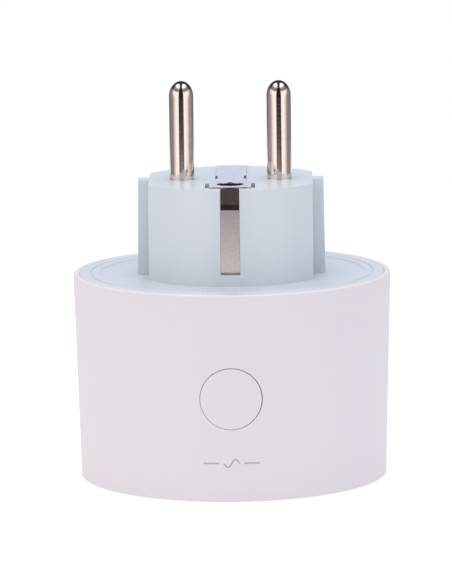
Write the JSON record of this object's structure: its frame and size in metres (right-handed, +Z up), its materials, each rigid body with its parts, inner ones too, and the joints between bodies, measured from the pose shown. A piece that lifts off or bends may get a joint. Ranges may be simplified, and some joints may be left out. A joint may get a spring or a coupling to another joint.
{
  "type": "smart plug",
  "caption": "Plug-in smart socket with a round tapered housing, a pinned plug insert on one end, a shuttered recessed outlet on the other and a flush round push button.",
  "frame": {"origin": "centre of the socket face, on the plane the part stands on", "axes": "+Z up along the pins, -Y towards the push button, pins spaced along X"},
  "size_m": [0.0622, 0.0622, 0.0775],
  "materials": {
    "white_shell": "fine spark-eroded texture, warm white polycarbonate",
    "grey_shell": "smooth satin, pale grey thermoset",
    "nickel": "bright nickel plating over brass",
    "bronze": "plain phosphor bronze strip",
    "gold_pin": "thin gold flash",
    "dark_nylon": "glass-filled nylon",
    "spring_steel": "drawn spring wire",
    "zinc_steel": "zinc-plated steel",
    "shield_can": "tin-plated sheet",
    "board_green": "solder mask over glass laminate",
    "board_blue": "solder mask over glass laminate",
    "relay_case": "moulded case",
    "can_sleeve": "shrunk sleeve over an aluminium can",
    "yellow_case": "potted box",
    "blue_coat": "dipped epoxy coat",
    "ceramic_tube": "glazed tube",
    "ferrite": "sintered ferrite with a wound coil",
    "chip_epoxy": "moulding compound",
    "plunger_plastic": "moulded acetal",
    "led_lens": "clear moulded lens"
  },
  "bodies": {
    "chassis": {"outer_sleeve": "white_shell", "plug_base": "grey_shell", "socket_well": "grey_shell", "line_pin": "nickel", "neutral_pin": "nickel", "earth_strap": "nickel", "earth_link": "bronze", "earth_bracket": "bronze", "live_contact": "bronze", "neutral_contact": "bronze", "line_busbar": "bronze", "neutral_busbar": "bronze", "contact_block": "dark_nylon", "shutter_spring": "spring_steel", "main_board": "board_green", "relay": "relay_case", "storage_capacitor": "can_sleeve", "supply_capacitor": "can_sleeve", "film_capacitor": "yellow_case", "varistor": "blue_coat", "fuse": "ceramic_tube", "inductor": "ferrite", "converter_chip": "chip_epoxy", "rectifier": "chip_epoxy", "current_shunt": "chip_epoxy", "header_block": "dark_nylon", "header_pins": "gold_pin", "control_board": "board_green", "switch_body": "dark_nylon", "radio_board": "board_blue", "radio_shield": "shield_can", "antenna": "gold_pin", "status_led": "led_lens", "case_screw": "zinc_steel", "chassis_screws": "zinc_steel", "board_screws": "zinc_steel"},
    "button": {"button_cap": "white_shell"},
    "plunger": {"switch_plunger": "plunger_plastic"},
    "shutter": {"shutter": "grey_shell"},
    "front_clip": {"earth_clip_front": "nickel"},
    "rear_clip": {"earth_clip_rear": "nickel"}
  },
  "joints": [
    {"name": "button_press", "type": "slide", "parent": "chassis", "child": "button", "axis": [0, 1, 0], "range_m": [0, 0.0005], "stiffness_N_per_m": 3200, "springref_m": -0.0001},
    {"name": "plunger_press", "type": "slide", "parent": "chassis", "child": "plunger", "axis": [0, 1, 0], "range_m": [0, 0.0005]},
    {"name": "shutter_turn", "type": "hinge", "parent": "chassis", "child": "shutter", "pos_m": [0, 0, 0.0214], "axis": [0, 0, 1], "range_deg": [0, 40], "stiffness_Nm_per_rad": 0.003, "springref_deg": -17.19, "deforming": ["shutter_spring"]},
    {"name": "front_clip_flex", "type": "hinge", "parent": "chassis", "child": "front_clip", "pos_m": [0, -0.0189, 0.024], "axis": [-1, 0, 0], "range_deg": [0, 4], "stiffness_Nm_per_rad": 1.2, "springref_deg": -0.57},
    {"name": "rear_clip_flex", "type": "hinge", "parent": "chassis", "child": "rear_clip", "pos_m": [0, 0.0189, 0.024], "axis": [1, 0, 0], "range_deg": [0, 4], "stiffness_Nm_per_rad": 1.2, "springref_deg": -0.57}
  ],
  "couplings": [
    {"joint": "plunger_press", "follows": "button_press", "ratio": 1}
  ]
}
